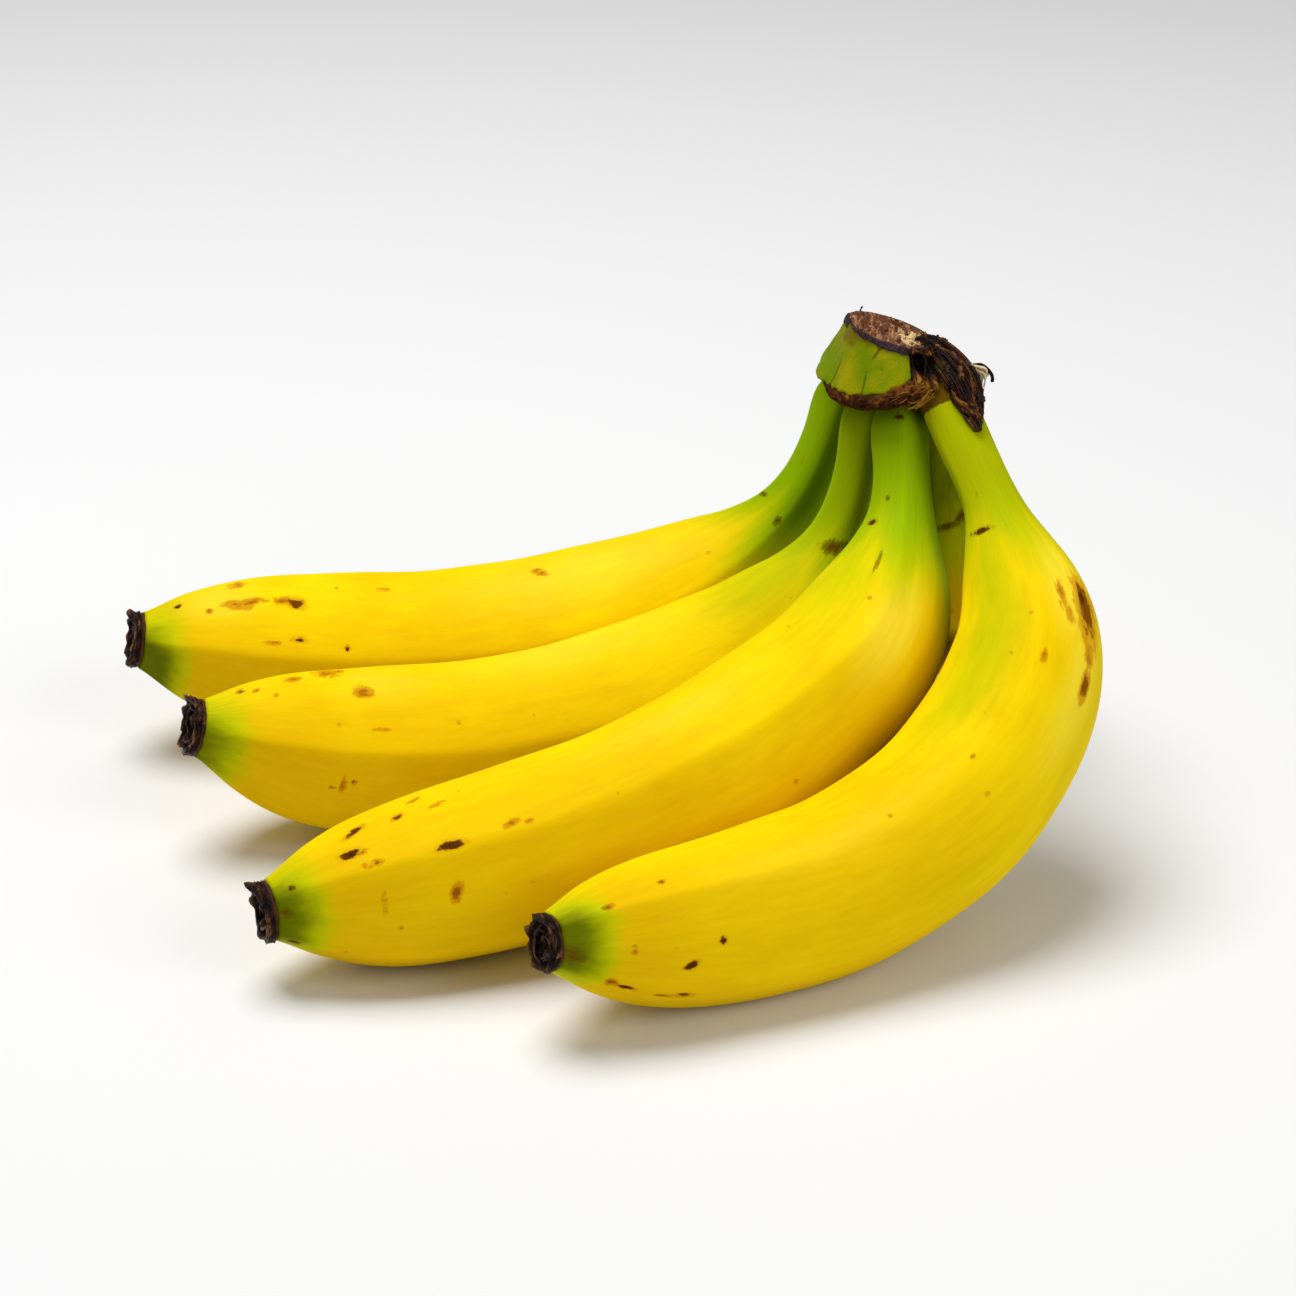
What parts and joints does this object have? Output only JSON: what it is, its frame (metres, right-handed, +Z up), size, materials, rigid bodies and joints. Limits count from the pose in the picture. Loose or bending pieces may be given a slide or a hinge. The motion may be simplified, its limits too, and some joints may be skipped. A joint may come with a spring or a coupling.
{
  "type": "bunch of bananas",
  "caption": "Hand of ripe bananas still joined at one cut crown, lying on its side on a flat surface, fingers fanned, dried blossom ends to the left.",
  "frame": {"origin": "middle of the bunch's outline on the surface it lies on", "axes": "+X from the blossom ends towards the crown, +Y from the front banana towards the back one, +Z up"},
  "size_m": [0.2252, 0.2121, 0.1095],
  "materials": {
    "peel": "ripe banana peel, waxy satin, green towards the neck and the blossom end",
    "crown": "green crown skin with a dry brown cut face, matt",
    "dry_tissue": "torn dry brown fibre, rough",
    "blossom_end": "dried blackish flower remains, rough"
  },
  "bodies": {
    "root": {"crown": "crown", "torn_sheath": "dry_tissue", "banana_1": "peel", "banana_2": "peel", "banana_3": "peel", "banana_4": "peel", "banana_5": "peel", "blossom_end_1": "blossom_end", "blossom_end_2": "blossom_end", "blossom_end_3": "blossom_end", "blossom_end_4": "blossom_end", "blossom_end_5": "blossom_end"}
  },
  "joints": []
}
